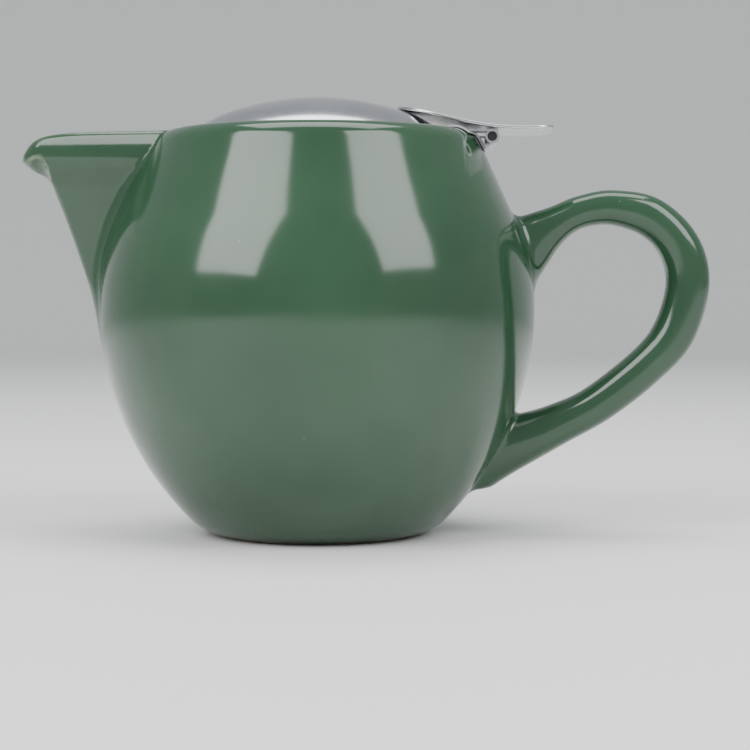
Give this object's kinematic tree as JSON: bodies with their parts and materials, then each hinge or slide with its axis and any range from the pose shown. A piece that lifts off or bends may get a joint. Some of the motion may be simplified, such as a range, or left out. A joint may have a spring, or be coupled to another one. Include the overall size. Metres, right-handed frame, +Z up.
{
  "type": "teapot",
  "caption": "Round glazed teapot with a beaked spout, a loop handle, a hinged domed steel lid with a thumb lever, and a lift-out perforated steel infuser.",
  "frame": {"origin": "centre of the foot ring, on the surface that the pot stands on", "axes": "+Z up along the body's axis; -X towards the spout, +X towards the handle and the lid's hinge; the hinge pin lies along Y"},
  "size_m": [0.1954, 0.1226, 0.1233],
  "materials": {
    "glaze": "deep green gloss glaze",
    "infuser_steel": "perforated stainless sheet, satin",
    "bracket_steel": "pressed stainless strip, satin",
    "spring_steel": "dark spring steel",
    "pin_steel": "dull drawn steel wire",
    "lid_steel": "polished stainless with fine wipe marks",
    "lever_steel": "polished stainless strip"
  },
  "bodies": {
    "pot": {"pot_body": "glaze", "spout": "glaze", "handle": "glaze"},
    "infuser": {"infuser_rim": "infuser_steel", "infuser_wall": "infuser_steel", "infuser_band": "infuser_steel", "infuser_floor": "infuser_steel"},
    "lid_frame": {"seat_ring": "bracket_steel", "seat_spring_1": "spring_steel", "seat_spring_2": "spring_steel", "seat_spring_3": "spring_steel", "hinge_bracket": "bracket_steel", "hinge_pin": "pin_steel"},
    "lid": {"lid_dome": "lid_steel", "thumb_lever": "lever_steel", "lid_knuckle": "lever_steel"}
  },
  "joints": [
    {"name": "infuser_lift", "type": "slide", "parent": "pot", "child": "infuser", "axis": [0, 0, 1], "range_m": [0, 0.08]},
    {"name": "lid_frame_lift", "type": "slide", "parent": "infuser", "child": "lid_frame", "axis": [0, 0, 1], "range_m": [0, 0.03]},
    {"name": "lid_hinge", "type": "hinge", "parent": "lid_frame", "child": "lid", "pos_m": [0.049, 0, 0.1114], "axis": [0, 1, 0], "range_deg": [0, 75]}
  ]
}
